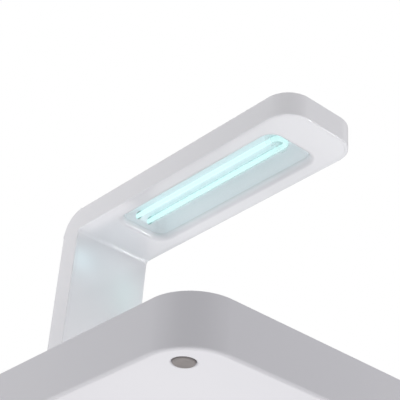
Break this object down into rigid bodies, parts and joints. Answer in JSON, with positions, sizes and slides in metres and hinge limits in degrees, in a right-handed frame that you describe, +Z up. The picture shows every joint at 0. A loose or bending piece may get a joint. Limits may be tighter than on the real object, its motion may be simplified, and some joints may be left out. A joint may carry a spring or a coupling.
{
  "type": "phone uv sanitizer",
  "caption": "Desktop sanitizer: a rounded tray base for phones, with a bent arm that holds a U-shaped lamp in a recess over the tray.",
  "frame": {"origin": "middle of the base on the surface that it stands on, level with the feet's lower faces", "axes": "+Z up; +X from the leg towards the tip of the head; +Y to the left of someone who looks along +X"},
  "size_m": [0.212, 0.18, 0.1792],
  "materials": {
    "white_shell": "satin white moulded plastic",
    "mat_silicone": "matt light grey silicone",
    "foot_rubber": "matt grey rubber",
    "screw_steel": "plated steel",
    "circuit_board": "green circuit board with dark components",
    "inlet_metal": "plated steel shell",
    "switch_plastic": "black moulded plastic",
    "button_plastic": "white moulded plastic",
    "plunger_plastic": "grey moulded plastic",
    "light_pipe": "clear moulded light pipe",
    "reflector_metal": "satin bright sheet",
    "lamp_glass": "clear quartz tube, glowing pale cyan",
    "holder_plastic": "cream moulded plastic",
    "clip_plastic": "translucent moulded plastic",
    "lead_rubber": "white insulated lead"
  },
  "bodies": {
    "base": {"base_tub": "white_shell", "tray_deck": "white_shell", "tray_mat": "mat_silicone", "foot_front_left": "foot_rubber", "foot_front_right": "foot_rubber", "foot_rear_left": "foot_rubber", "foot_rear_right": "foot_rubber", "base_screw_front_left": "screw_steel", "base_screw_front_right": "screw_steel", "base_screw_rear_left": "screw_steel", "base_screw_rear_right": "screw_steel", "control_board": "circuit_board", "lamp_driver": "circuit_board", "board_screw_1": "screw_steel", "board_screw_2": "screw_steel", "board_screw_3": "screw_steel", "board_screw_4": "screw_steel", "power_inlet": "inlet_metal", "power_switch": "switch_plastic", "timer_switch": "switch_plastic", "status_light": "light_pipe", "arm_shell": "white_shell", "arm_cover": "white_shell", "arm_screw_1": "screw_steel", "arm_screw_2": "screw_steel", "reflector": "reflector_metal", "uv_lamp_tube": "lamp_glass", "lamp_holder": "holder_plastic", "lamp_clip": "clip_plastic", "lamp_lead": "lead_rubber"},
    "power_button": {"power_button": "button_plastic", "power_plunger": "plunger_plastic"},
    "timer_button": {"timer_button": "button_plastic", "timer_plunger": "plunger_plastic"}
  },
  "joints": [
    {"name": "power_press", "type": "slide", "parent": "base", "child": "power_button", "axis": [0, 0, -1], "range_m": [0, 0.001], "stiffness_N_per_m": 1500, "springref_m": -0.0008},
    {"name": "timer_press", "type": "slide", "parent": "base", "child": "timer_button", "axis": [0, 0, -1], "range_m": [0, 0.001], "stiffness_N_per_m": 1500, "springref_m": -0.0008}
  ]
}
